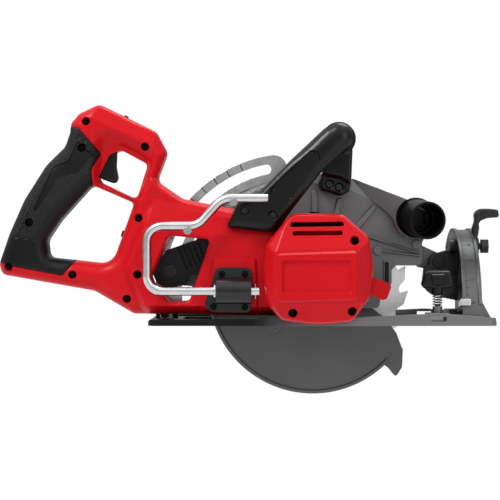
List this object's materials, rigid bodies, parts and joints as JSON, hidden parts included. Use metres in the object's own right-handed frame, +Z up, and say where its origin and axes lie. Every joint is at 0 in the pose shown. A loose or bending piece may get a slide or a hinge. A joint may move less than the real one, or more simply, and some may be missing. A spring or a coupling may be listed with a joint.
{
  "type": "rear handle circular saw",
  "caption": "Rear handle circular saw with a blade in a sprung guard, a tilting shoe with depth and bevel clamps, a front handle and a rafter hook.",
  "frame": {"origin": "on the shoe's underside, below the arbor, in the housing's parting plane", "axes": "+X forward along the cut, +Y from the motor side to the blade side, +Z up from the shoe's underside"},
  "size_m": [0.4697, 0.1739, 0.2723],
  "materials": {
    "red_shell": "satin moulded",
    "red_cap": "satin moulded",
    "black_plastic": "matt moulded",
    "grip_rubber": "textured overmould",
    "guard_metal": "dark cast",
    "lower_guard_metal": "dark cast",
    "shoe_metal": "cast and milled",
    "zinc_steel": "bright zinc",
    "dark_steel": "blackened",
    "screw_steel": "blackened",
    "blade_steel": "ground",
    "drive_steel": "ground",
    "core_steel": "laminated",
    "copper": "enamelled",
    "clear_lens": "clear"
  },
  "bodies": {
    "saw_body": {"housing_right": "red_shell", "housing_left": "red_shell", "grip_right": "grip_rubber", "grip_left": "grip_rubber", "housing_screws": "screw_steel", "terminal_block": "black_plastic", "trigger_switch": "black_plastic", "controller_module": "black_plastic", "motor_case": "red_shell", "motor_cap": "red_cap", "cap_screws": "screw_steel", "stator_core": "core_steel", "stator_coils": "copper", "end_bell": "black_plastic", "gear_case": "guard_metal", "gear_case_screws": "screw_steel", "spindle_bearings": "drive_steel", "rotor_bearings": "drive_steel", "guard_ring": "drive_steel", "guard_spring": "drive_steel", "upper_guard": "guard_metal", "dust_port": "black_plastic", "front_handle": "grip_rubber", "front_handle_screws": "screw_steel", "hook_block": "black_plastic", "hook_block_screws": "screw_steel", "led_arm": "red_shell", "led_lens": "clear_lens", "depth_clamp_bolt": "dark_steel"},
    "tilt_frame": {"front_bracket": "guard_metal", "rear_trunnion": "zinc_steel", "depth_pins": "zinc_steel", "bevel_pointer": "zinc_steel", "bevel_bolt": "dark_steel", "bevel_nut": "dark_steel"},
    "shoe_base": {"shoe": "shoe_metal", "bevel_pins": "zinc_steel", "bevel_quadrant": "zinc_steel", "edge_guide_spring": "zinc_steel"},
    "depth_arc": {"depth_bracket": "zinc_steel"},
    "depth_clamp": {"depth_lever": "black_plastic", "depth_nut": "dark_steel"},
    "bevel_clamp": {"bevel_lever": "dark_steel"},
    "guard_drum": {"lower_guard": "lower_guard_metal"},
    "blade_spindle": {"spindle": "drive_steel", "drive_gear": "drive_steel", "inner_flange": "drive_steel", "blade": "blade_steel", "outer_flange": "drive_steel", "blade_bolt": "dark_steel"},
    "rotor": {"rotor_shaft": "drive_steel", "rotor_core": "core_steel", "fan": "black_plastic", "pinion": "drive_steel"},
    "hook": {"hook_rod": "zinc_steel", "hook_pins": "zinc_steel"},
    "trigger_body": {"trigger": "black_plastic"},
    "lock_off": {"lock_off_button": "black_plastic"},
    "spindle_stop": {"spindle_lock": "black_plastic"},
    "guide_knob": {"edge_guide_knob": "black_plastic"}
  },
  "joints": [
    {"name": "depth", "type": "hinge", "parent": "saw_body", "child": "tilt_frame", "pos_m": [0.1205, 0.046, 0.058], "axis": [0, -1, 0], "range_deg": [0, 28]},
    {"name": "bevel", "type": "hinge", "parent": "tilt_frame", "child": "shoe_base", "pos_m": [0, 0.046, 0.007], "axis": [1, 0, 0], "range_deg": [0, 50]},
    {"name": "depth_arc_swing", "type": "hinge", "parent": "tilt_frame", "child": "depth_arc", "pos_m": [-0.141, 0.0245, 0.0092], "axis": [0, -1, 0], "range_deg": [0, 23]},
    {"name": "depth_lever_turn", "type": "hinge", "parent": "saw_body", "child": "depth_clamp", "pos_m": [-0.1355, 0.017, 0.0493], "axis": [0, -1, 0], "range_deg": [0, 45]},
    {"name": "bevel_lever_turn", "type": "hinge", "parent": "tilt_frame", "child": "bevel_clamp", "pos_m": [0.155, 0.02263, 0.07298], "axis": [1, 0, 0], "range_deg": [0, 60]},
    {"name": "guard_swing", "type": "hinge", "parent": "saw_body", "child": "guard_drum", "pos_m": [0, 0.046, 0.0322], "axis": [0, 1, 0], "range_deg": [0, 110], "stiffness_Nm_per_rad": 0.25, "springref_deg": -68.75},
    {"name": "blade_spin", "type": "hinge", "parent": "saw_body", "child": "blade_spindle", "pos_m": [0, 0.046, 0.0322], "axis": [0, 1, 0], "continuous": true},
    {"name": "rotor_spin", "type": "hinge", "parent": "saw_body", "child": "rotor", "pos_m": [0, -0.02, 0.0522], "axis": [0, 1, 0], "continuous": true},
    {"name": "hook_swing", "type": "hinge", "parent": "saw_body", "child": "hook", "pos_m": [-0.075, -0.042, 0.0318], "axis": [1, 0, 0], "range_deg": [0, 90]},
    {"name": "trigger_pull", "type": "hinge", "parent": "saw_body", "child": "trigger_body", "pos_m": [-0.19, 0, 0.165], "axis": [0, 1, 0], "range_deg": [0, 12], "stiffness_Nm_per_rad": 0.4, "springref_deg": -8.59},
    {"name": "lock_off_press", "type": "slide", "parent": "saw_body", "child": "lock_off", "axis": [-0.4399, 0, -0.898], "range_m": [0, 0.003], "stiffness_N_per_m": 400, "springref_m": -0.002},
    {"name": "spindle_lock_press", "type": "slide", "parent": "saw_body", "child": "spindle_stop", "axis": [0, 0, -1], "range_m": [0, 0.003], "stiffness_N_per_m": 400, "springref_m": -0.002},
    {"name": "guide_knob_turn", "type": "hinge", "parent": "shoe_base", "child": "guide_knob", "pos_m": [0.1124, -0.025, 0.03], "axis": [0, 0, 1], "range_deg": [0, 360]}
  ],
  "couplings": [
    {"joint": "rotor_spin", "follows": "blade_spin", "ratio": -4},
    {"joint": "depth_arc_swing", "follows": "depth", "ratio": 0.82}
  ]
}
